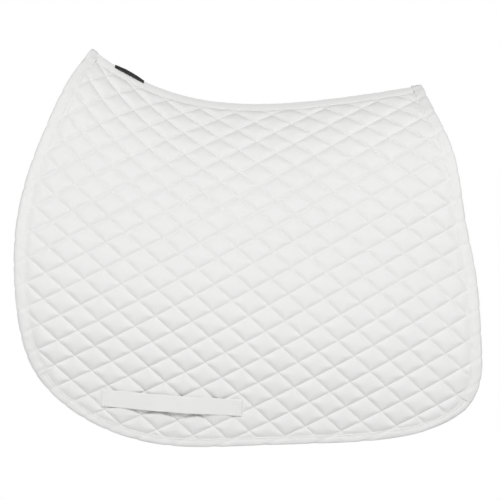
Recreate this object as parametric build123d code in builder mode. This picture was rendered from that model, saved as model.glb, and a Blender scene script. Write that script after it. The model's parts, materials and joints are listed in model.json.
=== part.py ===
"""Quilted English saddle pad, draped as it lies on a horse's back.

Millimetres, +Z up.  The withers (front) end is at -X, the left side at -Y.  The origin is on the
crest of the spine seam, midway along it.  The pad is two quilted half panels joined by the spine
tapes.  Each half panel has a crown, which lies on the back, and a flap, which hangs from the crown
along a straight crease and swings about it.
"""
from build123d import *
import os
from math import atan2, cos, hypot, pi, sin, sqrt

os.makedirs("parts", exist_ok=True)

# ---- Driving dimensions ------------------------------------------------------------------------
# Cross-section of the panel's middle surface: an arc that rises from the vertical side to the spine.
half_width = 225.0        # centre plane to the vertical side
side_top_z = -384.0       # height where the vertical side turns into the arc
arc_rise = 374.0          # arc's rise from there to the lowest point of the spine
crease_z = -217.0         # height of the crease between crown and flap

# Rise of the spine line towards the withers and the rear, from its lowest point.
spine_low_x = -67.0
withers_x = -262.0        # ends of the spine seam
rear_x = 257.0
withers_curve = 0.00152   # parabola coefficient, 1/mm
rear_slope = 0.351        # slope that the rear part of the spine tends to
rear_bend = 190.0         # distance over which it bends up to that slope

# Crown: each section is a cubic curve from the spine to the crease.
spine_fall = 24.0         # slope of the section at the spine, degrees, at the lowest point
withers_fall = 36.0       # the same at the withers end
rear_fall = 22.0          # the same at the rear end
handle = 0.36             # curve handles, as a share of the chord
rear_fullness = 0.08      # added to the handles at the rear end

# Quilted layers, as distances from the middle surface.
batting_half = 4.1
layer_gap = 0.1
fabric = 0.8
tape = 1.0
seam_gap = 0.15           # each half panel's distance from the centre plane at the spine seam

# Edge bindings and spine tapes.
edge_cover = 1.1          # thickness of the binding around the panel's cut edge
binding_width = 17.0
bottom_binding_width = 13.0
spine_tape_half = 17.0

# Crease between crown and flap: the crown ends in a round socket about the crease line, which
# leaves the flap room to turn.
socket_radius = 7.1

# Woven label, folded over the spine near the withers.
label_x0 = -224.0
label_x1 = -176.0
label_half = 5.0
label_thickness = 0.5

# Girth keeper loops: webbing sewn down at both ends, on the outside of each flap.
loop_x = -71.0
loop_z = -440.0
loop_tilt = 2.8           # degrees, rear end up
loop_length = 212.0
loop_width = 26.0
loop_end = 14.0           # sewn, doubled length at each end
loop_slack = 7.0          # clear gap under the middle of the webbing
webbing = 1.5
stitch_length = 2.6
stitch_width = 0.7
stitch_rows = 3
stitches_per_row = 6

# Outline of the draped pad seen from the side, (x, z), from the withers corner down the front edge,
# along the bottom and up the rear edge to the rear corner of the spine.
outline = [
    (-262, 54), (-286, 15), (-310, -52), (-327, -118), (-336, -205), (-328, -283), (-311, -356),
    (-284, -415), (-236, -461), (-170, -493), (-81, -508), (39, -496), (159, -477), (278, -452),
    (338, -426), (371, -397), (387, -352), (382, -296), (362, -195), (338, -119), (303, -10),
    (283, 22), (257, 61),
]
outline_samples = 60
top_reach = 90.0          # the front and rear edge lines are carried on above the spine by this

# Bias joins where the front and rear bindings meet the bottom binding: point and direction inward.
front_join = ((-275, -424), (0.52, 0.85))
rear_join = ((378, -387), (-0.86, 0.51))
join_reach = 60.0

# ---- Derived values ----------------------------------------------------------------------------
arc_radius = (half_width**2 + arc_rise**2) / (2 * half_width)
arc_offset = arc_radius - half_width          # arc centre's distance beyond the centre plane
crease_y = sqrt(arc_radius**2 - (crease_z - side_top_z) ** 2) - arc_offset
crease_angle = atan2(crease_z - side_top_z, crease_y + arc_offset)
cover_out = batting_half + layer_gap + fabric
tape_in = cover_out + layer_gap
tape_out = tape_in + tape
panel_x0 = -350.0
panel_x1 = 400.0
panel_bottom = -525.0
stations = [-350, -295, -235, -175, -120, -67, 0, 70, 150, 230, 315, 400]
section_points = 10
past_spine = 0.04         # share by which a section runs past the spine before it is trimmed there
past_centre = 3.0         # how far a cutting layer runs past the centre plane


def crest(x):
    """Rise of the spine line above its lowest point."""
    d = x - spine_low_x
    if d < 0:
        return withers_curve * d * d
    return rear_slope * (sqrt(d * d + rear_bend**2) - rear_bend)


def crown_point(x, t, offset):
    """(y, z) on the left crown, t from 0 at the spine to 1 at the crease, offset along the normal."""
    d = x - spine_low_x
    end_fall, span = (withers_fall, withers_x - spine_low_x) if d < 0 else (rear_fall, rear_x - spine_low_x)
    share = (d / span) ** 2
    fall = (spine_fall + (end_fall - spine_fall) * share) * pi / 180
    start = (0.0, side_top_z + arc_rise + crest(x))
    end = (crease_y, crease_z)
    reach = hypot(end[0] - start[0], end[1] - start[1]) * (handle + (rear_fullness * share if d > 0 else 0))
    first = (start[0] + reach * cos(fall), start[1] - reach * sin(fall))
    second = (end[0] - reach * sin(crease_angle), end[1] + reach * cos(crease_angle))
    weights = ((1 - t) ** 3, 3 * (1 - t) ** 2 * t, 3 * (1 - t) * t**2, t**3)
    rates = (3 * (1 - t) ** 2, 6 * (1 - t) * t, 3 * t**2)
    corners = (start, first, second, end)
    y, z = (sum(w * c[i] for w, c in zip(weights, corners)) for i in (0, 1))
    dy, dz = (sum(r * (corners[k + 1][i] - corners[k][i]) for k, r in enumerate(rates)) for i in (0, 1))
    length = hypot(dy, dz)
    return (-(y - offset * dz / length), z + offset * dy / length)


def crown_section(x, inner, outer):
    """Cross-section of one crown layer at a station along the spine."""
    steps = [1 - (1 + past_spine) * i / (section_points - 1) for i in range(section_points)]
    top = [crown_point(x, t, outer) for t in steps]
    under = [crown_point(x, t, inner) for t in steps]
    with BuildSketch(Plane.YZ.offset(x)) as section:
        with BuildLine():
            Spline(*top)
            Line(top[-1], under[-1])
            Spline(*under)
            Line(under[0], top[0])
        make_face()
    return section.sketch


def side_outline(inset):
    """Side outline of the pad, drawn in by inset, and open well above the spine."""
    edge = Spline(*outline)
    points = []
    for i in range(outline_samples + 1):
        inward = (edge % (i / outline_samples)).rotate(Axis.Z, 90)
        points.append(edge @ (i / outline_samples) + inset * inward)
    above_front = points[0] - top_reach * (edge % 0)
    above_rear = points[-1] + top_reach * (edge % 1)
    with BuildSketch(Plane.XZ) as side:
        with BuildLine():
            Spline(*points)
            Polyline(points[-1], above_rear, above_front, points[0])
        make_face()
    return side.sketch


def bottom_region(margin):
    """Side view region of the bottom binding, between the two bias joins, widened by margin."""
    corners = []
    for (x, z), (dx, dz) in (front_join, rear_join):
        inner_end = (x + join_reach * dx, z + join_reach * dz)
        outer_end = (x - join_reach * dx, z - join_reach * dz)
        corners.append([inner_end, outer_end, (outer_end[0], panel_bottom)])
    with BuildSketch(Plane.XZ) as region:
        with BuildLine():
            Polyline(*corners[0], *reversed(corners[1]), close=True)
        make_face()
        if margin:
            offset(amount=margin, kind=Kind.INTERSECTION)
    return region.sketch


full_outline = side_outline(0)
panel_outline = side_outline(edge_cover)
core_outline = side_outline(edge_cover - layer_gap)
field_outline = side_outline(binding_width)
bottom_field_outline = side_outline(bottom_binding_width)
tape_outline = side_outline(binding_width + layer_gap)
bottom_area = bottom_region(0)
bottom_clearance = bottom_region(layer_gap)
across = 600.0            # half length of a cut made right across the pad


def crown_layer(inner, outer, area, gap):
    """One layer of the left crown, trimmed to a side view area and to the centre plane."""
    with BuildPart() as layer:
        for x in stations:
            add(crown_section(x, inner, outer))
        loft()
        split(bisect_by=Plane.XZ.offset(gap), keep=Keep.TOP)
        with Locations((0, -crease_y, crease_z)):
            Cylinder(socket_radius, 2 * across, rotation=(0, 90, 0), mode=Mode.SUBTRACT)
        extrude(area, amount=across, both=True, mode=Mode.INTERSECT)
    return layer.part


def flap_layer(inner, outer, area, nose=0.0):
    """One layer of the left flap, trimmed to a side view area; nose rounds its end at the crease."""
    centre = (arc_offset, side_top_z)
    with BuildPart() as layer:
        with BuildSketch(Plane.YZ.offset(panel_x0)):
            with BuildLine():
                ends = []
                for r in (arc_radius + outer, arc_radius + inner):
                    high, middle, low = (
                        (centre[0] - r * cos(turn), centre[1] + r * sin(turn))
                        for turn in (crease_angle, crease_angle / 2, 0)
                    )
                    bottom = (low[0], panel_bottom)
                    ThreePointArc(high, middle, low)
                    Line(low, bottom)
                    ends.append((high, bottom))
                Line(ends[0][0], ends[1][0])
                Line(ends[0][1], ends[1][1])
            make_face()
            if nose:
                with Locations((-crease_y, crease_z)):
                    Circle(nose)
        extrude(amount=panel_x1 - panel_x0)
        extrude(area, amount=across, both=True, mode=Mode.INTERSECT)
    return layer.part


def crown_binding(side):
    """Binding over one end edge of the crown, from the left crease over the spine to the right."""
    with BuildPart() as binding:
        add(crown_layer(-tape_out, tape_out, full_outline, 0.0))
        add(crown_layer(-tape_in, tape_in, core_outline, -past_centre), mode=Mode.SUBTRACT)
        extrude(field_outline, amount=across, both=True, mode=Mode.SUBTRACT)
        split(bisect_by=Plane.YZ, keep=Keep.BOTTOM if side == "front" else Keep.TOP)
        mirror(about=Plane.XZ)
    return binding.part


def flap_binding(side):
    """Binding over one edge of the left flap: front, rear or bottom."""
    with BuildPart() as binding:
        add(flap_layer(-tape_out, tape_out, full_outline))
        add(flap_layer(-tape_in, tape_in, core_outline), mode=Mode.SUBTRACT)
        field = bottom_field_outline if side == "bottom" else field_outline
        extrude(field, amount=across, both=True, mode=Mode.SUBTRACT)
        if side == "bottom":
            extrude(bottom_area, amount=across, both=True, mode=Mode.INTERSECT)
        else:
            extrude(bottom_clearance, amount=across, both=True, mode=Mode.SUBTRACT)
            split(bisect_by=Plane.YZ, keep=Keep.BOTTOM if side == "front" else Keep.TOP)
    return binding.part


def spine_strip(inner, outer, half, area):
    """Strip of cloth folded over the spine, symmetric about the centre plane."""
    with BuildPart() as strip:
        add(crown_layer(inner, outer, area, 0.0))
        with BuildSketch(Plane.XY):
            Rectangle(2 * across, 2 * half)
        extrude(amount=across, both=True, mode=Mode.INTERSECT)
        mirror(about=Plane.XZ)
    return strip.part


def keeper_loop():
    """Webbing loop on the left flap: flat doubled ends and a slack middle for the girth straps."""
    reach = loop_length / 2 - loop_end
    with BuildPart() as loop:
        with BuildSketch(loop_plane):
            with BuildLine():
                Line((-loop_length / 2, 0), (-reach, 0))
                Spline((-reach, 0), (0, loop_slack), (reach, 0), tangents=[(1, 0), (1, 0)])
                Polyline((reach, 0), (loop_length / 2, 0), (loop_length / 2, 2 * webbing),
                         (reach, 2 * webbing), (reach, webbing))
                Spline((reach, webbing), (0, loop_slack + webbing), (-reach, webbing),
                       tangents=[(-1, 0), (-1, 0)])
                Polyline((-reach, webbing), (-reach, 2 * webbing), (-loop_length / 2, 2 * webbing),
                         (-loop_length / 2, 0))
            make_face()
        extrude(amount=loop_width / 2, both=True)
    return loop.part


def loop_stitching():
    """Rows of stitches that hold both ends of the left keeper loop."""
    with BuildPart() as stitching:
        with BuildSketch(stitch_plane):
            for end in (-1, 1):
                with Locations((end * (loop_length - loop_end) / 2, 0)):
                    with GridLocations(loop_end / (stitch_rows + 0.5), loop_width / (stitches_per_row + 0.5),
                                       stitch_rows, stitches_per_row):
                        SlotOverall(stitch_length, stitch_width, rotation=90)
        extrude(amount=stitch_width / 2)
    return stitching.part


# Frames of the keeper loop: x along the webbing, standing off the left flap.
tilt = loop_tilt * pi / 180
along = (cos(tilt), 0, sin(tilt))
seat_y = -(half_width + cover_out + layer_gap)
loop_plane = Plane(origin=(loop_x, seat_y, loop_z), x_dir=along, z_dir=(sin(tilt), 0, -cos(tilt)))
stitch_plane = Plane(origin=(loop_x, seat_y - 2 * webbing - layer_gap / 2, loop_z), x_dir=along, z_dir=(0, -1, 0))

with BuildSketch(Plane.XZ) as label_area:
    with Locations(((label_x0 + label_x1) / 2, 0)):
        Rectangle(label_x1 - label_x0, 2 * across)

layers = {
    "lining": (-cover_out, -batting_half - layer_gap, 0.0),
    "batting": (-batting_half, batting_half, batting_half),
    "cover": (batting_half + layer_gap, cover_out, 0.0),
}

# ---- Pieces ------------------------------------------------------------------------------------
pieces = {}
for name, (inner, outer, nose) in layers.items():
    pieces["left_crown_" + name] = crown_layer(inner, outer, panel_outline, seam_gap)
    pieces["left_flap_" + name] = flap_layer(inner, outer, panel_outline, nose)
for side in ("front", "rear", "bottom"):
    pieces["left_flap_" + side + "_binding"] = flap_binding(side)
pieces["left_girth_loop"] = keeper_loop()
pieces["left_loop_stitching"] = loop_stitching()

for name in list(pieces):
    with BuildPart() as twin:
        mirror(pieces[name], about=Plane.XZ)
    pieces[name.replace("left", "right")] = twin.part

for side in ("front", "rear"):
    pieces["crown_" + side + "_binding"] = crown_binding(side)
pieces["spine_tape_top"] = spine_strip(tape_in, tape_out, spine_tape_half, tape_outline)
pieces["spine_tape_under"] = spine_strip(-tape_out, -tape_in, spine_tape_half, tape_outline)
label_in = tape_out + layer_gap
pieces["woven_label"] = spine_strip(label_in, label_in + label_thickness, label_half, label_area.sketch)

for name, piece in pieces.items():
    piece.label = name
    export_step(piece, "parts/" + name + ".step")
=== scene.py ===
import json
from math import atan2, cos, hypot, radians, sin, sqrt

import bmesh
import bpy
import numpy as np
from mathutils import Matrix, Vector

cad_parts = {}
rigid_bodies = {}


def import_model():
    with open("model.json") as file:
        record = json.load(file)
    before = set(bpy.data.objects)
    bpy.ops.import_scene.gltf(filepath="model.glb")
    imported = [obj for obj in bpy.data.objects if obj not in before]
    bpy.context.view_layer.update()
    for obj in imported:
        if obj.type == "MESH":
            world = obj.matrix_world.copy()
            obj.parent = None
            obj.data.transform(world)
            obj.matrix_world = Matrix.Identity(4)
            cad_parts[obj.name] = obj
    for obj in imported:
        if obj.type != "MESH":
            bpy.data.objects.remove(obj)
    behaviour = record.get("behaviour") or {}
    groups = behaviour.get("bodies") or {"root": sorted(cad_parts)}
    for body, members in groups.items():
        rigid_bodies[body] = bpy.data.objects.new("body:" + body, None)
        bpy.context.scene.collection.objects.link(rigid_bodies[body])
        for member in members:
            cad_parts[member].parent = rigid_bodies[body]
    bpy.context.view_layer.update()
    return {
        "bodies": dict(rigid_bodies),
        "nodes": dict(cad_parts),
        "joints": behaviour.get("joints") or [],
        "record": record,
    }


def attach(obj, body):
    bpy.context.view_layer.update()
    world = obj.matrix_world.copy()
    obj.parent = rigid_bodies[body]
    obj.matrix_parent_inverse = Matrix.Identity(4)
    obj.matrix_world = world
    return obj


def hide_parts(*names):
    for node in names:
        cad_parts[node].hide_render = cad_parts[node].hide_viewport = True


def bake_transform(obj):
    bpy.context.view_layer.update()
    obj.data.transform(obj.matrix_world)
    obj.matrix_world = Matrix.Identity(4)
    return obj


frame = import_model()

MM = 0.001

# ---- The pad's middle surface, in millimetres, as the CAD draws it -------------------------------
HALF_WIDTH = 225.0        # centre plane to the vertical side
SIDE_TOP_Z = -384.0       # height where the vertical side turns into the arc
ARC_RISE = 374.0          # from there up to the middle of the crest
CREASE_Z = -217.0         # crease between crown and flap
SPINE_LOW_X = -67.0       # lowest point of the spine
WITHERS_X = -262.0        # its ends
REAR_X = 257.0
WITHERS_CURVE = 0.00152   # how fast it rises to the withers, and to the rear
REAR_SLOPE = 0.351
REAR_BEND = 190.0
SPINE_FALL, WITHERS_FALL, REAR_FALL = 24.0, 36.0, 22.0    # slope of the crown at the spine, degrees
HANDLE = 0.36             # roundness of the crown's section
REAR_FULLNESS = 0.08
SEAM_GAP = 0.15           # half the gap between the two halves at the spine seam
BINDING_WIDTH = 17.0
BOTTOM_BINDING_WIDTH = 13.0
SPINE_TAPE_HALF = 17.0
LABEL_X0, LABEL_X1, LABEL_HALF = -224.0, -176.0, 5.0
LOOP_X, LOOP_Z, LOOP_TILT = -71.0, -440.0, radians(2.8)
LOOP_LENGTH, LOOP_WIDTH, LOOP_END = 212.0, 26.0, 14.0
LOOP_SLACK, LOOP_BASE, WEBBING = 6.4, 2.7, 1.5
STITCH_LENGTH, STITCH_PITCH, THREAD_RADIUS = 2.7, 3.6, 0.3
STITCH_INSET = 2.4        # binding's stitches, in from the tape's inner edge
THREAD_RINGS = ((0, 0.35, -0.6), (0.12, 0.9, 0.2), (0.5, 1.1, 0.55), (0.88, 0.9, 0.2), (1, 0.35, -0.6))

# Side outline (x, z), from the withers corner down the front, along the bottom and up the rear.
OUTLINE = [
    (-262, 54), (-286, 15), (-310, -52), (-327, -118), (-336, -205), (-328, -283), (-311, -356),
    (-284, -415), (-236, -461), (-170, -493), (-81, -508), (39, -496), (159, -477), (278, -452),
    (338, -426), (371, -397), (387, -352), (382, -296), (362, -195), (338, -119), (303, -10),
    (283, 22), (257, 61),
]
FRONT_JOIN = (-275, -424)
REAR_JOIN = (378, -387)

ARC_RADIUS = (HALF_WIDTH**2 + ARC_RISE**2) / (2 * HALF_WIDTH)
ARC_OFFSET = ARC_RADIUS - HALF_WIDTH
CREASE_Y = sqrt(ARC_RADIUS**2 - (CREASE_Z - SIDE_TOP_Z) ** 2) - ARC_OFFSET
CREASE_ANGLE = atan2(CREASE_Z - SIDE_TOP_Z, CREASE_Y + ARC_OFFSET)
ARC_LENGTH = CREASE_ANGLE * ARC_RADIUS

# ---- Quilting: diamonds ruled on the cloth, which drift a little as it drapes --------------------
DIAMOND_LENGTH = 55.8
DIAMOND_HEIGHT = 40.2
COLUMN_START, ROW_START = 0.03, 0.425        # phases of the ruling, in diamonds
DRIFT_REACH = 300.0                          # the drifts are given at this distance, in diamonds
COLUMN_LEAN, COLUMN_SPREAD, COLUMN_TWIST, COLUMN_BOW = -0.22, 0.07, 0.07, 0.33
ROW_SLOPE, ROW_SAG, ROW_TWIST, ROW_CLOSING = -0.08, 0.095, -0.15, 0.255
WITHERS_REACH, REAR_REACH = 190.0, 320.0     # extra drifts above the crease, towards the two ends
WITHERS_COLUMN, WITHERS_ROW = (0.19, -0.39), (0.11, 0.77)
REAR_COLUMN, REAR_ROW = (0.83, 0.83), (-0.24, -0.54)

# Heights above the middle surface.
GROOVE = 1.5              # bottom of a quilting groove
PILLOW = 5.9
PRESSED = 1.9             # under the bindings and tapes
CORE = 0.35               # hidden faces of cover and lining, inside the pad
UNDER_LOOP = 2.6          # where the keeper loop's ends are sewn down
BINDING_TOP = 3.7         # crown of a binding's fold

# Shape of one diamond.
CELL_STEPS = (0, 0.03, 0.075, 0.14, 0.23, 0.36, 0.5, 0.64, 0.77, 0.86, 0.925, 0.97)   # mesh lines across it
PUFF_FLATNESS = 5.6       # higher is flatter on top and steeper at the grooves
CORNER_SHARPNESS = 5      # how far the full height reaches into the corners
LEAST_FULLNESS = 0.86     # diamonds vary in fullness from this to 1
FADE = 8.0                # width of the pressed band beside the bindings and tape

# Cloth simulation, which adds about a millimetre at most to the diamonds shaped above.
SEWN_BELOW = 0.30         # share of the full height below which the cloth is held
CLOTH_FRAMES = 20
CLOTH_MASS = 0.1
CLOTH_PRESSURE = 120.0
CLOTH_SLACK = 0.01        # share by which the cloth is longer than its rest shape
CLOTH_BENDING = 0.3
PUFF_LIMIT = 1.3          # largest movement kept
LINING_PUFF = 0.9         # the lining's share of the cover's movement

GAUSS_AT, GAUSS_WEIGHT = np.polynomial.legendre.leggauss(8)


def smooth(t):
    """Smooth step of t from 0 to 1."""
    t = np.clip(t, 0, 1)
    return t * t * (3 - 2 * t)


def waves(x, v, size, seed, count=7):
    """Smooth pseudo-random height field, about -1 to 1, with features of about the given size."""
    rng = np.random.default_rng(seed)
    total = 0
    for _ in range(count):
        turn, phase, stretch = rng.uniform(0, 2 * np.pi), rng.uniform(0, 2 * np.pi), rng.uniform(0.7, 1.5)
        k = 2 * np.pi / (size * stretch)
        total = total + np.sin(k * (x * np.cos(turn) + v * np.sin(turn)) + phase)
    return total / sqrt(2 * count)


# ---- Surface ------------------------------------------------------------------------------------
def crest(x):
    """Height of the spine at x."""
    d = x - SPINE_LOW_X
    rear = REAR_SLOPE * (np.sqrt(d * d + REAR_BEND**2) - REAR_BEND)
    return SIDE_TOP_Z + ARC_RISE + np.where(d < 0, WITHERS_CURVE * d * d, rear)


def spine_fall(x):
    """Slope of the crown at the spine, in radians, and how near x is to its end, 0 to 1."""
    d = x - SPINE_LOW_X
    front = d < 0
    share = np.where(front, d / (WITHERS_X - SPINE_LOW_X), d / (REAR_X - SPINE_LOW_X)) ** 2
    end_fall = np.where(front, WITHERS_FALL, REAR_FALL)
    return np.radians(SPINE_FALL + (end_fall - SPINE_FALL) * share), share


def crown_curve(x, t):
    """Cubic section of the crown at x: y and z at t, and their rates.
    t is 0 at the spine and 1 at the crease."""
    fall, share = spine_fall(x)
    top = crest(x)
    rear_share = np.where(x < SPINE_LOW_X, 0, REAR_FULLNESS * share)
    reach = np.hypot(CREASE_Y, CREASE_Z - top) * (HANDLE + rear_share)
    ys = (0 * x, reach * np.cos(fall), CREASE_Y - reach * sin(CREASE_ANGLE), CREASE_Y + 0 * x)
    zs = (top, top - reach * np.sin(fall), CREASE_Z + reach * cos(CREASE_ANGLE), CREASE_Z + 0 * x)
    s = 1 - t
    weights = (s**3, 3 * s * s * t, 3 * s * t * t, t**3)
    rates = (3 * s * s, 6 * s * t, 3 * t * t)
    y, z = (sum(w * c for w, c in zip(weights, cs)) for cs in (ys, zs))
    dy, dz = (sum(r * (cs[k + 1] - cs[k]) for k, r in enumerate(rates)) for cs in (ys, zs))
    return y, z, dy, dz


def crown_length(x, t):
    """Length of the section from t to the crease."""
    total = 0
    for at, weight in zip(GAUSS_AT, GAUSS_WEIGHT):
        _, _, dy, dz = crown_curve(x, t + (1 - t) * (at + 1) / 2)
        total = total + weight * np.hypot(dy, dz)
    return total * (1 - t) / 2


def crown_share(x, v):
    """t of the point whose length up from the crease is -v."""
    t = 1 + v / crown_length(x, 0 * x)
    for _ in range(6):
        _, _, dy, dz = crown_curve(x, t)
        t = t + (crown_length(x, t) + v) / np.hypot(dy, dz)
    return t


def spine_v(x):
    """v of the spine seam at x."""
    return -crown_length(x, 0 * x)


def surface(x, v, n):
    """Points of the draped left half: v is the length down from the crease, n the height outward."""
    x, v, n = np.broadcast_arrays(*(np.asarray(a, float) for a in (x, v, n)))
    x, v, n = x.ravel(), v.ravel(), n.ravel() + drape(x.ravel(), v.ravel())
    y, z, dy, dz = crown_curve(x, crown_share(x, np.minimum(v, 0)))
    length = np.hypot(dy, dz)
    bend = CREASE_ANGLE - v / ARC_RADIUS
    turn = np.maximum(bend, 0)
    flap = v > 0
    y = np.where(flap, ARC_RADIUS * np.cos(turn) - ARC_OFFSET, y)
    z = np.where(flap, SIDE_TOP_Z + ARC_RADIUS * (np.sin(turn) + np.minimum(bend, 0)), z)
    dy = np.where(flap, np.sin(turn), dy / length)
    dz = np.where(flap, -np.cos(turn), dz / length)
    return np.stack([x, n * dz - y, z + n * dy], -1)


def drape(x, v):
    """Slight unevenness of the hanging cloth."""
    return 0.7 * waves(x, v, 190.0, 11)


def length_at(x, z):
    """v of the middle surface at side position (x, z)."""
    angle = np.arcsin(np.clip((z - SIDE_TOP_Z) / ARC_RADIUS, -1, 1))
    flap = np.where(z < SIDE_TOP_Z, ARC_LENGTH + SIDE_TOP_Z - z, (CREASE_ANGLE - angle) * ARC_RADIUS)
    low, high = 0 * x, 0 * x + 1
    for _ in range(30):
        t = (low + high) / 2
        _, height, _, _ = crown_curve(x, t)
        low, high = np.where(height > z, t, low), np.where(height > z, high, t)
    return np.where(z < CREASE_Z, flap, -crown_length(x, t))


# ---- Outline on the cloth -----------------------------------------------------------------------
def spline(points, per_span):
    """Natural cubic spline through the points, with chord lengths as its parameter."""
    p = np.array(points, float)
    h = np.hypot(*np.diff(p, axis=0).T)
    n = len(p)
    a = np.eye(n)
    b = np.zeros((n, 2))
    for i in range(1, n - 1):
        a[i, i - 1:i + 2] = h[i - 1], 2 * (h[i - 1] + h[i]), h[i]
        b[i] = 6 * ((p[i + 1] - p[i]) / h[i] - (p[i] - p[i - 1]) / h[i - 1])
    m = np.linalg.solve(a, b)
    out = []
    for i in range(n - 1):
        for f in np.arange(per_span) / per_span:
            s, r = f * h[i], (1 - f) * h[i]
            cubic = (m[i] * r**3 + m[i + 1] * s**3) / (6 * h[i])
            first = (p[i] / h[i] - m[i] * h[i] / 6) * r
            out.append(cubic + first + (p[i + 1] / h[i] - m[i + 1] * h[i] / 6) * s)
    out.append(p[-1])
    return np.array(out)


class Edge:
    """The half pad's cut edge on the cloth, (x, v), by length s from the spine at the withers."""

    def __init__(self, step=1.5, beyond=60.0):
        side = spline(OUTLINE, 40)
        below = side[:, 1] < crest(side[:, 0])
        first, last = np.argmax(below), len(below) - np.argmax(below[::-1])
        side = side[first:last]
        flat = np.stack([side[:, 0], length_at(side[:, 0], side[:, 1])], -1)
        s = np.concatenate([[0], np.cumsum(np.hypot(*np.diff(flat, axis=0).T))])
        self.length = s[-1]
        at = np.arange(0, self.length, step)
        flat = np.stack([np.interp(at, s, flat[:, k]) for k in (0, 1)], -1)
        starts = flat[0] - flat[12], flat[-1] - flat[-13]
        starts = [d / hypot(*d) for d in starts]
        more = np.arange(step, beyond, step)
        before = flat[0] + more[::-1, None] * starts[0]
        after = flat[-1] + more[:, None] * starts[1]
        self.s = np.concatenate([-more[::-1], at, at[-1] + more])
        self.points = np.concatenate([before, flat, after])
        rate = np.gradient(self.points, self.s, axis=0)
        kernel = np.ones(9) / 9
        padded = np.pad(rate, ((4, 4), (0, 0)), mode="edge")
        rate = np.stack([np.convolve(padded[:, k], kernel, "valid") for k in (0, 1)], -1)
        rate /= np.hypot(*rate.T)[:, None]
        self.inward = np.stack([-rate[:, 1], rate[:, 0]], -1) * -1
        self.joins = [self.nearest(np.array(j, float)) for j in (FRONT_JOIN, REAR_JOIN)]

    def nearest(self, side_point):
        flat = np.array([side_point[0], length_at(side_point[:1], side_point[1:])[0]])
        return self.s[np.argmin(np.hypot(*(self.points - flat).T))]

    def place(self, s, d):
        """(x, v) at length s along the edge and d in from it."""
        s, d = np.broadcast_arrays(s, d)
        return tuple(np.interp(s, self.s, self.points[:, k]) + d * np.interp(s, self.s, self.inward[:, k])
                     for k in (0, 1))

    def spine_crossing(self, d, n, rear):
        """Length s at which the line at inset d meets the spine seam."""
        window = (self.s > self.length - 90) if rear else (self.s < 90)
        s = self.s[window]
        out = []
        for inset, height in zip(d, n):
            x, v = self.place(s, inset)
            above = v - spine_v(x) - seam_shift(x, height)
            if rear:
                out.append(np.interp(0, -above, s) if above[-1] < 0 else s[-1])
            else:
                out.append(np.interp(0, above, s))
        return np.array(out)


def seam_shift(x, n):
    """How far down from the spine a point at height n lies when it touches the centre plane."""
    fall, _ = spine_fall(x)
    return (SEAM_GAP - n * np.sin(fall)) / np.cos(fall)


edge = Edge()


# ---- Quilting -----------------------------------------------------------------------------------
def quilt_drift(x, v):
    """Drift of the ruling, in diamonds along and down."""
    a, b = x / DRIFT_REACH, v / DRIFT_REACH
    top = np.minimum(b, 0)
    withers = np.minimum((np.minimum(x - SPINE_LOW_X, 0) / WITHERS_REACH) ** 2, 2.2)
    rear = (np.maximum(x - SPINE_LOW_X, 0) / REAR_REACH) ** 2
    column = COLUMN_LEAN * b + COLUMN_SPREAD * a * a + COLUMN_TWIST * a * b + COLUMN_BOW * b * b
    row = ROW_SLOPE * a + ROW_SAG * a * a + ROW_TWIST * a * b + ROW_CLOSING * b * b
    for share, on_column, on_row in ((withers, WITHERS_COLUMN, WITHERS_ROW), (rear, REAR_COLUMN, REAR_ROW)):
        column = column + share * (on_column[0] * top + on_column[1] * top * top)
        row = row + share * (on_row[0] * top + on_row[1] * top * top)
    return COLUMN_START + column, ROW_START + row


def quilt_lines(x, v):
    """(p, q): the grooves lie where p or q is whole."""
    column, row = quilt_drift(x, v)
    along, down = column + x / DIAMOND_LENGTH, row + v / DIAMOND_HEIGHT
    return along - down, along + down


def quilt_place(p, q):
    """(x, v) of lattice point (p, q)."""
    along, down = (p + q) / 2, (q - p) / 2
    x, v = along * DIAMOND_LENGTH, down * DIAMOND_HEIGHT
    for _ in range(25):
        column, row = quilt_drift(x, v)
        x = 0.4 * x + 0.6 * (along - column) * DIAMOND_LENGTH
        v = 0.4 * v + 0.6 * (down - row) * DIAMOND_HEIGHT
    return x, v


def groove_pull(x, v, width=0.1):
    """1 on a groove, falling to 0 beside it, for the down-right grooves and the up-right ones."""
    p, q = quilt_lines(x, v)
    return (np.exp(-((p - np.round(p)) / width) ** 2), np.exp(-((q - np.round(q)) / width) ** 2))


def edge_margin(x, v):
    """Distance in from the inner edge of the bindings and of the spine tape; negative under them."""
    points, s = edge.points[::2], edge.s[::2]
    best = np.full(len(x), 1e9)
    front, rear = edge.joins
    for (ax, av), at in zip(points, s):
        width = BOTTOM_BINDING_WIDTH if front < at < rear else BINDING_WIDTH
        best = np.minimum(best, np.hypot(x - ax, v - av) - width)
    return np.minimum(best, v - spine_v(x) - SPINE_TAPE_HALF)


def inside(px, pv, polygon):
    """Even-odd test of points against a closed polygon."""
    result = np.zeros(px.shape, bool)
    for (ax, av), (bx, bv) in zip(polygon, np.roll(polygon, -1, axis=0)):
        if av == bv:
            continue
        crosses = (av > pv) != (bv > pv)
        result ^= crosses & (px < (bx - ax) * (pv - av) / (bv - av) + ax)
    return result


def panel_border(inset):
    """Closed border of a half panel on the cloth: the outline drawn in, and the spine seam."""
    s = edge.s[(edge.s > -20) & (edge.s < edge.length + 20)]
    x, v = edge.place(s, inset)
    keep = v > spine_v(x)
    x, v = x[keep], v[keep]
    ridge = np.linspace(x[-1], x[0], 260)[1:-1]
    return np.stack([np.append(x, ridge), np.append(v, spine_v(ridge))], -1)


def snap(points, polygon):
    """Nearest points on the polygon's sides."""
    a, b = polygon, np.roll(polygon, -1, axis=0)
    d = b - a
    size = np.maximum((d * d).sum(1), 1e-9)
    out = []
    for point in points:
        t = np.clip(((point - a) * d).sum(1) / size, 0, 1)
        foot = a + t[:, None] * d
        out.append(foot[np.argmin(((point - foot) ** 2).sum(1))])
    return np.array(out)


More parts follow.
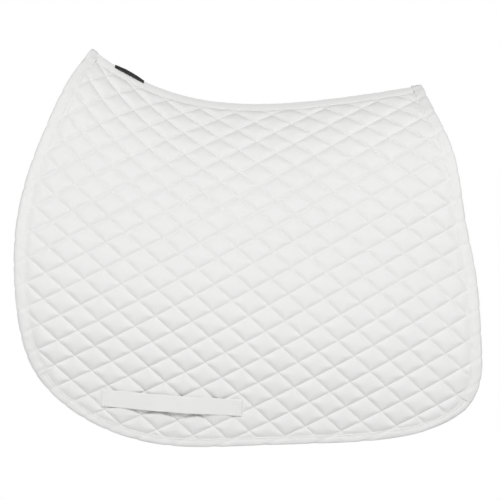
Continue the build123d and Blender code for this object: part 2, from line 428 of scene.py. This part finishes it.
def panel_grid():
    """Half panel's quilted sheet on the lattice, trimmed at its border: x, v, quads, rim edges and margin."""
    border = panel_border(4.5)
    p, q = quilt_lines(border[:, 0], border[:, 1])
    lines = []
    for c in (p, q):
        cells = range(int(np.floor(c.min())) - 1, int(c.max()) + 2)
        lines.append(np.concatenate([k + np.array(CELL_STEPS) for k in cells]))
    gp, gq = np.meshgrid(*lines, indexing="ij")
    x, v = quilt_place(gp, gq)
    index = np.arange(gp.size).reshape(gp.shape)
    corners = [index[:-1, :-1], index[:-1, 1:], index[1:, 1:], index[1:, :-1]]
    faces = np.stack([c.ravel() for c in corners], -1)
    x, v = x.ravel(), v.ravel()
    cx, cv = x[faces].mean(1), v[faces].mean(1)
    faces = faces[inside(cx, cv, border)]
    used, faces = np.unique(faces, return_inverse=True)
    faces = faces.reshape(-1, 4)
    flat = np.stack([x[used], v[used]], -1)
    rim = boundary_edges(faces)
    verts = np.unique(rim)
    flat[verts] = snap(flat[verts], border)
    x, v = flat.T
    return x, v, faces, rim, edge_margin(x, v)


def boundary_edges(faces):
    """Directed edges that belong to one quad only."""
    pairs = np.concatenate([faces[:, [i, (i + 1) % 4]] for i in range(4)])
    key = np.sort(pairs, axis=1)
    _, first, count = np.unique(key, axis=0, return_index=True, return_counts=True)
    return pairs[first[count == 1]]


def loop_press(x, v):
    """1 where an end of the keeper loop is sewn down, 0 away from it."""
    z = SIDE_TOP_Z - (v - ARC_LENGTH)
    u = (x - LOOP_X) * cos(LOOP_TILT) + (z - LOOP_Z) * sin(LOOP_TILT)
    w = -(x - LOOP_X) * sin(LOOP_TILT) + (z - LOOP_Z) * cos(LOOP_TILT)
    beyond_u = np.abs(np.abs(u) - (LOOP_LENGTH - LOOP_END) / 2) - LOOP_END / 2
    beyond_w = np.abs(w) - LOOP_WIDTH / 2
    return 1 - smooth(np.maximum(beyond_u, beyond_w) / 9 + 0.15)


def quilt_height(x, v, margin, seed):
    """Height of the quilted sheet above the middle surface, and its share of the full height, 0 to 1."""
    p, q = quilt_lines(x, v)
    fp, fq = p - np.floor(p), q - np.floor(q)
    up, across = (np.maximum(1 - np.abs(1 - 2 * f) ** PUFF_FLATNESS, 0.001) for f in (fp, fq))
    rise = (up ** -CORNER_SHARPNESS + across ** -CORNER_SHARPNESS - 1) ** (-1 / CORNER_SHARPNESS)
    rng = np.random.default_rng(seed)
    fullness = rng.uniform(LEAST_FULLNESS, 1.0, (64, 64))
    fullness = fullness[np.floor(p).astype(int) % 64, np.floor(q).astype(int) % 64]
    puff = smooth(margin / FADE + 0.1)
    n = GROOVE + (PILLOW - GROOVE) * rise * fullness
    n = PRESSED + (n - PRESSED) * puff
    return n, rise * puff


def quilted_shell(name, side, seed):
    """One quilted half: outer sheet, hidden inner face and rim. side is 1 for cover and -1 for lining."""
    x, v, faces, rim, margin = panel
    n, rise = quilt_height(x, v, margin, seed)
    press = loop_press(x, v)
    if side > 0:
        n = n + (np.minimum(n, UNDER_LOOP) - n) * press
    n = n + cell_puff * (1 if side > 0 else LINING_PUFF) * (1 - press)
    count = len(x)
    heights = np.concatenate([n, np.full(count, CORE)]) * side
    xx, vv = np.tile(x, 2), np.tile(v, 2)
    near = 1 - np.clip((vv - spine_v(xx)) / 12, 0, 1)
    moved = vv + seam_shift(xx, heights) * near
    points = surface(xx, moved, heights)
    points[:, 1] = np.minimum(points[:, 1], -SEAM_GAP)
    walls = np.stack([rim[:, 1], rim[:, 0], rim[:, 0] + count, rim[:, 1] + count], -1)
    quads = np.concatenate([faces, faces[:, ::-1] + count, walls])
    if side < 0:
        quads = quads[:, ::-1]
    cloth = np.stack([xx, vv, heights], -1)
    return make_mesh(name, points, quads, cloth)


def puffed(x, v, n, rise, faces):
    """Small change in height under the wadding's pressure, mostly outward: a cloth simulation of the
    shaped sheet, held along the grooves."""
    rest = surface(x, v, n)
    outward = surface(x, v, n + 1) - rest
    sheet = make_mesh("sheet", rest, faces)
    sewn = sheet.vertex_groups.new(name="sewn")
    sewn.add([int(i) for i in np.flatnonzero(rise < SEWN_BELOW)], 1.0, "REPLACE")
    cloth = sheet.modifiers.new("cloth", "CLOTH")
    cloth.point_cache.frame_start, cloth.point_cache.frame_end = 1, CLOTH_FRAMES
    cloth.collision_settings.use_collision = False
    settings = cloth.settings
    settings.quality = 4
    settings.mass = CLOTH_MASS
    settings.use_pressure = True
    settings.uniform_pressure_force = CLOTH_PRESSURE
    settings.shrink_min = -CLOTH_SLACK
    settings.bending_stiffness = CLOTH_BENDING
    settings.vertex_group_mass = "sewn"
    settings.effector_weights.gravity = 0
    for frame in range(1, CLOTH_FRAMES + 1):
        bpy.context.scene.frame_set(frame)
    shown = sheet.evaluated_get(bpy.context.evaluated_depsgraph_get())
    moved = np.empty(3 * len(x), np.float32)
    shown.data.vertices.foreach_get("co", moved)
    moved = moved.reshape(-1, 3).astype(float) / MM
    bpy.context.scene.frame_set(1)
    bpy.data.objects.remove(sheet, do_unlink=True)
    rise_by = ((moved - rest) * outward).sum(1)
    return np.clip(rise_by, -PUFF_LIMIT, PUFF_LIMIT)


# ---- Meshes -------------------------------------------------------------------------------------
def make_mesh(name, points, faces, cloth=None):
    """Object from points in millimetres; cloth holds (along, down, height) for the weave."""
    mesh = bpy.data.meshes.new(name)
    corners = [tuple(p) for p in np.asarray(points) * MM]
    mesh.from_pydata(corners, [], [tuple(int(i) for i in f) for f in faces])
    mesh.validate()
    mesh.update()
    if cloth is not None:
        layer = mesh.attributes.new("cloth", "FLOAT_VECTOR", "POINT")
        layer.data.foreach_set("vector", (np.asarray(cloth) * MM).astype(np.float32).ravel())
    mesh.polygons.foreach_set("use_smooth", [True] * len(mesh.polygons))
    obj = bpy.data.objects.new(name, mesh)
    bpy.context.scene.collection.objects.link(obj)
    return obj


def recalc(obj):
    """Face normals outward."""
    bm = bmesh.new()
    bm.from_mesh(obj.data)
    bmesh.ops.recalc_face_normals(bm, faces=bm.faces)
    bm.to_mesh(obj.data)
    bm.free()


def mirrored(obj):
    """Twin of a left piece on the right side."""
    mesh = obj.data.copy()
    co = np.zeros(len(mesh.vertices) * 3)
    mesh.vertices.foreach_get("co", co)
    co[1::3] *= -1
    mesh.vertices.foreach_set("co", co)
    mesh.flip_normals()
    twin = bpy.data.objects.new(obj.name.replace("left", "right"), mesh)
    mesh.name = twin.name
    bpy.context.scene.collection.objects.link(twin)
    return twin


def swept(name, points, cloth, shape):
    """Closed tube through rings of points; shape is (rings, points in a ring)."""
    count, size = shape
    faces = []
    for i in range(count - 1):
        for j in range(size):
            k = (j + 1) % size
            faces.append((i * size + j, i * size + k, (i + 1) * size + k, (i + 1) * size + j))
    faces.append(tuple(reversed(range(size))))
    faces.append(tuple(range((count - 1) * size, count * size)))
    obj = make_mesh(name, points, faces, cloth)
    recalc(obj)
    return obj


# ---- Bindings -----------------------------------------------------------------------------------
def tape_profile(width, base, top):
    """Closed section of a tape folded over the cut edge, as (inset, height): outside, then inside."""
    stitch = width - STITCH_INSET
    out = [
        (width, base + 0.1), (width + 0.1, base + 0.9), (width - 0.5, base + 1.45),
        (width - 1.3, base + 1.35), (stitch, base + 0.7), (width - 3.5, base + 1.2),
        (width * 0.62, top - 0.1), (width * 0.42, top), (width * 0.25, top - 0.2),
        (1.7, top - 0.8), (0.5, top - 2.0), (0.0, 0.7),
    ]
    lap = [(1.3, 0.7), (2.3, base - 0.4), (width * 0.5, base + 0.1), (stitch, base + 0.05)]
    outer = out + [(d, -n) for d, n in reversed(out)]
    inner = lap + [(d, -n) for d, n in reversed(lap)]
    return outer + inner[::-1]


def tape_height(x, v, d, n, width, seed):
    """Height of a binding's cloth: pleated by the grooves under it, crumpled at the rear corner of the
    spine, and lifted over the spine tape."""
    fold, cross = groove_pull(x, v, 0.1)
    outside = np.abs(n) > 1.0
    inset = np.clip(d / width, 0, 1)
    dip = (2.1 * cross + 0.5 * fold) * (0.6 + 0.4 * inset)
    puff = 0.4 * np.sin(2 * np.pi * (quilt_lines(x, v)[1] + 0.25)) + 0.35 * waves(x, v, 21.0, seed + 5)
    crumple = np.exp(-((v - spine_v(x)) / 45) ** 2) * np.exp(-((x - REAR_X) / 60) ** 2)
    puff = puff + 0.9 * crumple * waves(x, v, 9.0, seed + 7)
    lift = 1.35 * smooth((26 - (v - spine_v(x))) / 8)
    height = np.maximum(np.abs(n) - dip + puff, 0.25) + lift
    return np.where(outside, np.sign(n) * height, n * (1 + 0.5 * lift))


def tape_place(s, d, n, width, seed):
    """(x, v, height) on a binding at length s along the edge, inset d and height n."""
    x, v = edge.place(s, d)
    wobble = 0.5 * waves(x, v, 60.0, seed + 9) + 0.35 * waves(x, v, 17.0, seed + 3)
    height = tape_height(x, v, d, n, width, seed)
    notch = 0.9 * groove_pull(x, v, 0.08)[1]
    x, v = edge.place(s, d + wobble * np.clip(d / width, 0, 1) + notch * np.clip(1 - d / 6, 0, 1))
    return x, v, height


def binding(name, start, end, width, skew=(0.0, 0.0), spine=(False, False), seed=0, step=2.6):
    """Edge binding from length start to end. skew slants an end; spine ends it on the spine seam."""
    d, n = np.array(tape_profile(width, PRESSED, BINDING_TOP)).T
    s0, s1 = start + skew[0] * d, end + skew[1] * d
    if spine[0]:
        s0 = edge.spine_crossing(d, n, rear=False)
    if spine[1]:
        s1 = edge.spine_crossing(d, n, rear=True)
    share = np.linspace(0, 1, int((end - start) / step) + 1)[:, None]
    s = s0 + (s1 - s0) * share
    shape = s.shape
    s, d, n = (np.broadcast_to(a, shape).ravel() for a in (s, d, n))
    x, v, height = tape_place(s, d, n, width, seed)
    if spine[0] or spine[1]:
        v = np.maximum(v, spine_v(x) + seam_shift(x, height))
    return swept(name, surface(x, v, height), np.stack([s, d * np.sign(n), height], -1), shape)


def binding_stitches(name, start, end, width, seed, insets):
    """Rows of stitches that hold a binding, on both faces of the pad."""
    starts, ends, ups = [], [], []
    for face in (1, -1):
        for inset in insets:
            s = np.arange(start + 3, end - 3, STITCH_PITCH)
            d = np.full(len(s), inset)
            n = np.full(len(s), face * (PRESSED + 0.85))
            ends_of = []
            for shift, rise in ((0, 0), (STITCH_LENGTH, 0), (0, face)):
                x, v, height = tape_place(s + shift, d, n, width, seed)
                ends_of.append(surface(x, v, height + rise))
            starts.append(ends_of[0])
            ends.append(ends_of[1])
            ups.append(ends_of[2] - ends_of[0])
    return threads(name, *(np.concatenate(p) for p in (starts, ends, ups)), THREAD_RADIUS)


def threads(name, starts, ends, ups, radius, sides=6):
    """Short raised stitches from each start to its end, bulging towards ups."""
    along = ends - starts
    length = np.linalg.norm(along, axis=1, keepdims=True)
    along = along / length
    ups = ups - along * (ups * along).sum(1, keepdims=True)
    ups = ups / np.linalg.norm(ups, axis=1, keepdims=True)
    across = np.cross(along, ups)
    rings = []
    for at, size, lift in THREAD_RINGS:
        for k in range(sides):
            turn = 2 * np.pi * k / sides
            rings.append(starts + along * length * at + ups * radius * (lift + size * sin(turn))
                         + across * radius * size * cos(turn))
    points = np.stack(rings, 1)
    count, size = points.shape[:2]
    template = []
    for r in range(4):
        for k in range(sides):
            low, high, after = r * sides, (r + 1) * sides, (k + 1) % sides
            template.append((low + k, low + after, high + after, high + k))
    caps = [tuple(range(sides))[::-1], tuple(range(4 * sides, 5 * sides))]
    faces = [tuple(i + size * c for i in f) for c in range(count) for f in template + caps]
    flat = points.reshape(-1, 3)
    obj = make_mesh(name, flat, faces, flat)
    recalc(obj)
    return obj


# ---- Spine tapes and label ----------------------------------------------------------------------
def spine_strip(name, x0, x1, half, low, high, face, seed, step=2.5, seam=None, bulge=0.0):
    """Tape folded lengthwise over the spine. low and high are its faces' heights, seam is the inset of its
    stitching as a share of half, and bulge is how far its middle stands off the spine."""
    f = np.array([0, 0.05, 0.14, 0.27, 0.4, 0.53, 0.66, 0.78, 0.86, 0.92, 0.97, 1.0])
    count = len(f)
    x = np.arange(x0, x1 + step / 2, step)[:, None]
    wide = half + 0.5 * waves(x, 0, 45.0, seed)
    puff = 0.28 * np.sin(np.pi * np.minimum(f / 0.84, 1)) + 0.12 * waves(x, f * 20, 14.0, seed + 1)
    valley = 0.45 * np.exp(-((f - seam) / 0.045) ** 2) if seam else 0
    droop = 0.55 * np.maximum(0, (f - 0.955) / 0.045)
    arch = bulge * np.sin(np.pi * np.clip((x - x0) / (x1 - x0), 0, 1))
    upper = high + puff - valley - droop + arch
    share = np.concatenate([f[::-1], f, f[::-1], f])
    height = np.concatenate([upper[:, ::-1], upper, np.full((len(x), 2 * count), low) + arch], 1) * face
    twin = np.repeat([1, -1, -1, 1], count)
    shape = height.shape
    x, wide, share, twin = (np.broadcast_to(a, shape).ravel() for a in (x, wide, share, twin))
    height = height.ravel()
    start = seam_shift(x, height)
    down = start + (wide - start) * share
    points = surface(x, spine_v(x) + down, height)
    points[:, 1] *= twin
    return swept(name, points, np.stack([x, down * twin, height], -1), shape)


def spine_stitches(name, x0, x1, inset, height, face):
    """Stitching along both edges of a spine tape."""
    x = np.arange(x0, x1 - STITCH_LENGTH, STITCH_PITCH)
    parts = []
    for shift, rise in ((0, 0), (STITCH_LENGTH, 0), (0, 1)):
        parts.append(surface(x + shift, spine_v(x + shift) + inset, face * (height + rise)))
    starts, ends, ups = parts[0], parts[1], parts[2] - parts[0]
    twin = np.array((1, -1, 1))
    return threads(name, *(np.concatenate([p, p * twin]) for p in (starts, ends, ups)), THREAD_RADIUS)


# ---- Girth keeper loop --------------------------------------------------------------------------
def loop_point(u, w, n):
    """Point on the loop's frame: u along the webbing, w across it (up), n outward."""
    x = LOOP_X + u * cos(LOOP_TILT) - w * sin(LOOP_TILT)
    z = LOOP_Z + u * sin(LOOP_TILT) + w * cos(LOOP_TILT)
    return surface(x, ARC_LENGTH + SIDE_TOP_Z - z, n)


def loop_slack(u):
    """How far the loop's slack lifts the webbing off the pad."""
    reach = LOOP_LENGTH / 2 - LOOP_END
    return LOOP_SLACK * np.cos(np.clip(u / reach, -1, 1) * np.pi / 2) ** 1.3


def keeper_loop():
    """Webbing sewn down at both doubled ends, with a slack middle."""
    half = LOOP_LENGTH / 2
    low, high = LOOP_BASE + WEBBING / 2, LOOP_BASE + 1.5 * WEBBING + 0.15
    path = [(half - LOOP_END + 1.5, low)]
    path += [(u, low) for u in np.linspace(half - LOOP_END + 3, half - 1.6, 5)]
    radius = (high - low) / 2
    for k in range(1, 8):
        turn = -np.pi / 2 + np.pi * k / 8
        path.append((half - 1.6 + 1.35 * cos(turn), low + radius + radius * sin(turn)))
    path += [(half - 1.6, high), (half - 4, high), (half - 8, high), (half - LOOP_END + 2, high)]
    right = path
    middle = [(u, high + loop_slack(u)) for u in np.linspace(half - LOOP_END, 0, 34)]
    whole = [(-u, n) for u, n in right + middle[:-1]] + [(u, n) for u, n in (right + middle)[::-1]]
    path = np.array(whole)
    tangent = np.gradient(path, axis=0)
    tangent /= np.hypot(*tangent.T)[:, None]
    normal = np.stack([-tangent[:, 1], tangent[:, 0]], -1)
    wide, thick = LOOP_WIDTH / 2, WEBBING / 2
    ribs = np.linspace(-wide + 0.9, wide - 0.9, 15)
    section = [(w, thick + (0.0 if k % 2 else -0.07)) for k, w in enumerate(ribs)]
    section += [(wide - 0.25, thick * 0.7), (wide, 0.0), (wide - 0.25, -thick * 0.7)]
    section += [(w, -thick) for w in ribs[::-1]]
    section += [(-wide + 0.25, -thick * 0.7), (-wide, 0.0), (-wide + 0.25, thick * 0.7)]
    w, h = np.array(section).T
    run = np.concatenate([[0], np.cumsum(np.hypot(*np.diff(path, axis=0).T))])[:, None]
    (u, n), (across_u, across_n) = (a.T[:, :, None] for a in (path, normal))
    hump = loop_slack(u) / LOOP_SLACK
    belly = 0.8 * hump * (-w / wide) * (n > low + radius)
    shape = (len(path), len(section))
    columns = (u + across_u * h, w + 0.35 * waves(u, 0, 50.0, 21), n + across_n * h + belly, run, w, h)
    u, across, n, run, w, h = (np.broadcast_to(a, shape).ravel() for a in columns)
    return swept("left_girth_loop", loop_point(u, across, n), np.stack([run, w, h], -1), shape)


def loop_stitching():
    """Three rows of stitches across each end of the loop."""
    top = LOOP_BASE + 2 * WEBBING + 0.15
    starts, ends, ups = [], [], []
    for end in (-1, 1):
        for row in (-1, 0, 1):
            u = end * (LOOP_LENGTH - LOOP_END) / 2 + row * 4.0
            w = (np.arange(6) - 2.5) * 4.0 - 1.3
            a = loop_point(u, w, top)
            starts.append(a)
            ends.append(loop_point(u, w + 2.6, top))
            ups.append(loop_point(u, w, top + 1) - a)
    return threads("left_loop_stitching", *(np.concatenate(p) for p in (starts, ends, ups)), 0.42)


# ---- Pieces -------------------------------------------------------------------------------------
SKEW = 0.08               # slant of the bias joins
front_join, rear_join = edge.joins
panel = panel_grid()
grid_x, grid_v, grid_faces, _, grid_margin = panel
cell_puff = puffed(grid_x, grid_v, *quilt_height(grid_x, grid_v, grid_margin, 3), grid_faces)
s_end = edge.length
wide, narrow = BINDING_WIDTH, BOTTOM_BINDING_WIDTH
wide_seam, narrow_seams = (wide - STITCH_INSET,), (narrow - STITCH_INSET, narrow / 2)
left = {
    "cover": quilted_shell("left_cover", 1, 3),
    "lining": quilted_shell("left_lining", -1, 4),
    "front_binding": binding("left_front_binding", 0.0, front_join, wide, (0, SKEW), (True, False), 1),
    "bottom_binding": binding("left_bottom_binding", front_join - 1, rear_join + 1, narrow, (SKEW, -SKEW),
                              (False, False), 2),
    "rear_binding": binding("left_rear_binding", rear_join, s_end, wide, (-SKEW, 0), (False, True), 3),
    "front_stitching": binding_stitches("left_front_stitching", 16, front_join, wide, 1, wide_seam),
    "bottom_stitching": binding_stitches("left_bottom_stitching", front_join, rear_join, narrow, 2,
                                         narrow_seams),
    "rear_stitching": binding_stitches("left_rear_stitching", rear_join, s_end - 16, wide, 3, wide_seam),
    "girth_loop": keeper_loop(),
    "loop_stitching": loop_stitching(),
}
pairs = {name: (piece, mirrored(piece)) for name, piece in left.items()}
tape_x0, tape_x1 = WITHERS_X + 9, REAR_X - 9
sewn_x0, sewn_x1, sewn_inset = tape_x0 + 10, tape_x1 - 10, SPINE_TAPE_HALF * 0.865
tape_top = spine_strip("spine_tape_top", tape_x0, tape_x1, SPINE_TAPE_HALF, 2.0, 3.15, 1, 31, seam=0.87)
tape_under = spine_strip("spine_tape_under", tape_x0, tape_x1, SPINE_TAPE_HALF, 2.0, 3.15, -1, 32, seam=0.87)
top_stitching = spine_stitches("spine_stitching_top", sewn_x0, sewn_x1, sewn_inset, 2.85, 1)
under_stitching = spine_stitches("spine_stitching_under", sewn_x0, sewn_x1, sewn_inset, 2.85, -1)
label = spine_strip("woven_label_cloth", LABEL_X0, LABEL_X1, LABEL_HALF, 3.5, 4.15, 1, 33, 1.5, bulge=2.6)


# ---- Materials ----------------------------------------------------------------------------------
def nodes_of(name, colour, roughness, sheen=0.0):
    """New material: (material, node tree, shader, function that adds a node)."""
    material = bpy.data.materials.new(name)
    material.use_nodes = True
    tree = material.node_tree
    shader = tree.nodes["Principled BSDF"]
    shader.inputs["Base Color"].default_value = (*colour, 1)
    shader.inputs["Roughness"].default_value = roughness
    shader.inputs["Sheen Weight"].default_value = sheen
    shader.inputs["Sheen Roughness"].default_value = 0.6

    def add(kind, links=(), **settings):
        node = tree.nodes.new(kind)
        for key, value in settings.items():
            if key in node.inputs:
                node.inputs[key].default_value = value
            else:
                setattr(node, key.lower(), value)
        for target, source in dict(links).items():
            tree.links.new(source, node.inputs[target])
        return node

    return material, tree, shader, add


def woven(name, colour, dark, roughness, thread, slant, bump=0.3, painted_shade_strength=0.02, sheen=0.15, ribs=0.5):
    """Woven cloth: crossing ribs of the given thread size in millimetres, with fuzz, and painted shade that
    darkens the weave's hollows, unevenly in patches of random tone.
    slant turns the weave, in degrees, and ribs is the weft's closeness against the warp's."""
    material, tree, shader, add = nodes_of(name, colour, roughness, sheen)
    place = add("ShaderNodeAttribute", attribute_name="cloth").outputs["Vector"]
    turned = add("ShaderNodeVectorRotate", {"Vector": place}, rotation_type="Z_AXIS", Angle=radians(slant))
    turned = turned.outputs[0]
    period = np.pi / 10 / (thread * MM)
    warp = add("ShaderNodeTexWave", {"Vector": turned}, bands_direction="X", Scale=period, Distortion=0.6,
               Detail=1.0).outputs["Fac"]
    weft = add("ShaderNodeTexWave", {"Vector": turned}, bands_direction="Y", Scale=period * ribs,
               Distortion=0.6, Detail=1.0).outputs["Fac"]
    fuzz = add("ShaderNodeTexNoise", {"Vector": place}, Scale=1400.0, Detail=3.0).outputs["Fac"]
    tone = add("ShaderNodeTexNoise", {"Vector": place}, Scale=22.0, Detail=4.0).outputs["Fac"]
    weave = add("ShaderNodeMath", {0: warp, 1: weft}, operation="MULTIPLY").outputs[0]
    relief = add("ShaderNodeMath", {0: weave, 1: fuzz}, operation="ADD").outputs[0]
    # Painted shade: where the relief is low, in the weave's hollows and the dips of its fuzz, the colour is
    # mixed towards dark; the random tone sets how much, patch by patch.
    shade = add("ShaderNodeMapRange", {"Value": relief})
    shade.inputs["From Max"].default_value = 1.6
    shade.inputs["To Min"].default_value = 1.0
    shade.inputs["To Max"].default_value = 0.0
    patch = add("ShaderNodeMath", {0: tone}, operation="MULTIPLY")
    patch.inputs[1].default_value = painted_shade_strength * 10
    painted_shade_mix = add("ShaderNodeMath", {0: shade.outputs[0], 1: patch.outputs[0]}, operation="MULTIPLY")
    mix = add("ShaderNodeMix", {"Factor": painted_shade_mix.outputs[0]}, data_type="RGBA")
    mix.inputs[6].default_value = (*colour, 1)
    mix.inputs[7].default_value = (*dark, 1)
    tree.links.new(mix.outputs[2], shader.inputs["Base Color"])
    raised = add("ShaderNodeBump", {"Height": relief}, Strength=bump, Distance=0.00012)
    tree.links.new(raised.outputs["Normal"], shader.inputs["Normal"])
    return material


WHITE = (0.80, 0.80, 0.795)
cotton = woven("cover_cotton", WHITE, (0.62, 0.62, 0.62), 0.85, 0.9, 45)
lining_cotton = woven("lining_cotton", (0.78, 0.78, 0.76), (0.6, 0.6, 0.58), 0.9, 1.1, 0)
bias_tape = woven("binding_tape", (0.79, 0.79, 0.785), (0.64, 0.64, 0.64), 0.75, 0.8, 45, bump=0.35)
flat_tape = woven("spine_tape", (0.83, 0.83, 0.825), (0.64, 0.64, 0.64), 0.75, 1.2, 90, bump=0.4)
web = woven("webbing", (0.82, 0.82, 0.81), (0.6, 0.6, 0.6), 0.6, 1.7, 90, bump=0.6, ribs=1.4)
yarn = woven("thread", (0.88, 0.88, 0.87), (0.7, 0.7, 0.7), 0.5, 0.35, 30, bump=0.4)
satin = woven("label_black", (0.012, 0.012, 0.013), (0.03, 0.03, 0.03), 0.55, 0.6, 0, bump=0.5, sheen=0.05)

finishes = {
    "cover": (cotton, "cover_cotton"),
    "lining": (lining_cotton, "lining_cotton"),
    "front_binding": (bias_tape, "binding_tape"),
    "bottom_binding": (bias_tape, "binding_tape"),
    "rear_binding": (bias_tape, "binding_tape"),
    "front_stitching": (yarn, "thread"),
    "bottom_stitching": (yarn, "thread"),
    "rear_stitching": (yarn, "thread"),
    "girth_loop": (web, "webbing"),
    "loop_stitching": (yarn, "thread"),
}


def finish(piece, material):
    """Give the piece its material."""
    piece.data.materials.clear()
    piece.data.materials.append(material)


for name, (material, slot) in finishes.items():
    for piece in pairs[name]:
        finish(piece, material)
finish(tape_top, flat_tape)
finish(tape_under, flat_tape)
finish(top_stitching, yarn)
finish(under_stitching, yarn)
finish(label, satin)


def hang(piece):
    """Bake the piece's placement into its mesh; it is not bent about the crease, nor attached to the crown or
    a flap.
    """
    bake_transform(piece)


for k, side in enumerate(("left", "right")):
    piece = {name: pair[k] for name, pair in pairs.items()}
    for name in ("cover", "lining", "front_binding", "rear_binding", "front_stitching", "rear_stitching"):
        hang(piece[name])
    for name in ("bottom_binding", "bottom_stitching", "girth_loop", "loop_stitching"):
        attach(piece[name], side + "_flap")
    layers = ("_crown_cover", "_flap_cover", "_crown_batting", "_flap_batting")
    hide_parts(*(side + layer for layer in layers))
    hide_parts(side + "_crown_lining", side + "_flap_lining")
    for end in ("front", "rear"):
        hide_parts(side + "_flap_" + end + "_binding", "crown_" + end + "_binding")
    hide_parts(side + "_flap_bottom_binding")
    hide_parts(side + "_girth_loop")
    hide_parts(side + "_loop_stitching")
for piece, node in ((tape_top, "spine_tape_top"), (tape_under, "spine_tape_under"), (label, "woven_label")):
    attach(piece, "crown")
    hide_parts(node)
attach(top_stitching, "crown")
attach(under_stitching, "crown")

# ---- Stage --------------------------------------------------------------------------------------
VIEW_DISTANCE = 3.0       # camera to the near flap, metres
FRAME_WIDTH = 0.75        # width of the picture at that distance, metres
FLAP_AT = (0, -0.225, -0.312)
ELEVATION, AZIMUTH, ROLL = radians(11.0), radians(-1.5), radians(7.2)
AIM = (-0.0048, 0.22185, -0.012)         # picture centre: right and down in the frame, and height of its base
FLOOR_Z, FLOOR_HALF = -850.0, 14000.0    # millimetres
WORLD_LOW, WORLD_HIGH = 0.28, 0.33
KEY_POWER = 88.0
REAR_POWER = 9.0


def look():
    """Camera at the viewing angle: slightly above, turned so that the withers end is higher."""
    forward = Vector((-sin(AZIMUTH) * cos(ELEVATION), cos(AZIMUTH) * cos(ELEVATION), -sin(ELEVATION)))
    right = Vector((cos(AZIMUTH), sin(AZIMUTH), 0))
    up = right.cross(forward)
    image_x = right * cos(ROLL) + up * sin(ROLL)
    image_y = up * cos(ROLL) - right * sin(ROLL)
    centre = image_x * AIM[0] - image_y * AIM[1] + Vector((0, 0, AIM[2]))
    centre += forward * (Vector(FLAP_AT) - centre).dot(forward)
    camera = bpy.data.cameras.new("camera")
    camera.sensor_width = 36
    camera.lens = 36 * VIEW_DISTANCE / FRAME_WIDTH
    camera.clip_end = 50
    obj = bpy.data.objects.new("camera", camera)
    bpy.context.scene.collection.objects.link(obj)
    axes = Matrix((image_x, image_y, -forward)).transposed().to_4x4()
    obj.matrix_world = Matrix.Translation(centre - forward * VIEW_DISTANCE) @ axes
    bpy.context.scene.camera = obj


def softbox(name, place, target, size, power):
    """Rectangular soft light at place, facing target; in metres and watts."""
    light = bpy.data.lights.new(name, "AREA")
    light.shape = "RECTANGLE"
    light.size, light.size_y = size
    light.energy = power
    obj = bpy.data.objects.new(name, light)
    bpy.context.scene.collection.objects.link(obj)
    obj.visible_camera = False
    obj.location = place
    obj.rotation_euler = (Vector(target) - Vector(place)).to_track_quat("-Z", "Y").to_euler()
    return obj


def backdrop():
    """Wide flat floor below the pad."""
    corners = [(sx * FLOOR_HALF, sy * FLOOR_HALF, FLOOR_Z) for sx, sy in ((-1, -1), (1, -1), (1, 1), (-1, 1))]
    return make_mesh("floor", corners, [(0, 1, 2, 3)])


def floor_material():
    """Pale floor: white to the camera, clear from below, and light grey to the light that bounces."""
    material, tree, shader, add = nodes_of("floor_pale", (0.85, 0.85, 0.85), 0.9)
    glow = add("ShaderNodeEmission", Strength=1.0)
    glow.inputs["Color"].default_value = (1, 1, 1, 1)
    seen = add("ShaderNodeLightPath").outputs["Is Camera Ray"]
    mix = add("ShaderNodeMixShader", {0: seen, 1: shader.outputs[0], 2: glow.outputs[0]})
    below = add("ShaderNodeMath", {0: add("ShaderNodeNewGeometry").outputs["Backfacing"], 1: seen})
    below.operation = "MULTIPLY"
    clear = add("ShaderNodeBsdfTransparent")
    both = add("ShaderNodeMixShader", {0: below.outputs[0], 1: mix.outputs[0], 2: clear.outputs[0]})
    tree.links.new(both.outputs[0], tree.nodes["Material Output"].inputs["Surface"])
    return material


def studio_world():
    """Soft white light, a little stronger from above than from below, and plain white to the camera."""
    world = bpy.data.worlds.new("studio")
    world.use_nodes = True
    tree = world.node_tree
    shade = tree.nodes.new("ShaderNodeMapRange")
    parts = tree.nodes.new("ShaderNodeSeparateXYZ")
    tree.links.new(tree.nodes.new("ShaderNodeTexCoord").outputs["Generated"], parts.inputs[0])
    tree.links.new(parts.outputs["Z"], shade.inputs["Value"])
    for key, value in (("From Min", -0.5), ("From Max", 0.8), ("To Min", WORLD_LOW), ("To Max", WORLD_HIGH)):
        shade.inputs[key].default_value = value
    tree.nodes["Background"].inputs["Color"].default_value = (1, 1, 1, 1)
    seen = tree.nodes.new("ShaderNodeMath")
    seen.operation = "MAXIMUM"
    tree.links.new(shade.outputs[0], seen.inputs[0])
    tree.links.new(tree.nodes.new("ShaderNodeLightPath").outputs["Is Camera Ray"], seen.inputs[1])
    tree.links.new(seen.outputs[0], tree.nodes["Background"].inputs["Strength"])
    bpy.context.scene.world = world


look()
floor = backdrop()
floor.data.materials.append(floor_material())
studio_world()
softbox("key", (0.0, -2.9, 2.05), (0, -0.1, -0.25), (1.2, 0.8), KEY_POWER)
softbox("rear", (0.7, 1.6, 0.1), (0, 0.2, -0.25), (1.2, 0.8), REAR_POWER)
bpy.context.scene.view_settings.view_transform = "Standard"
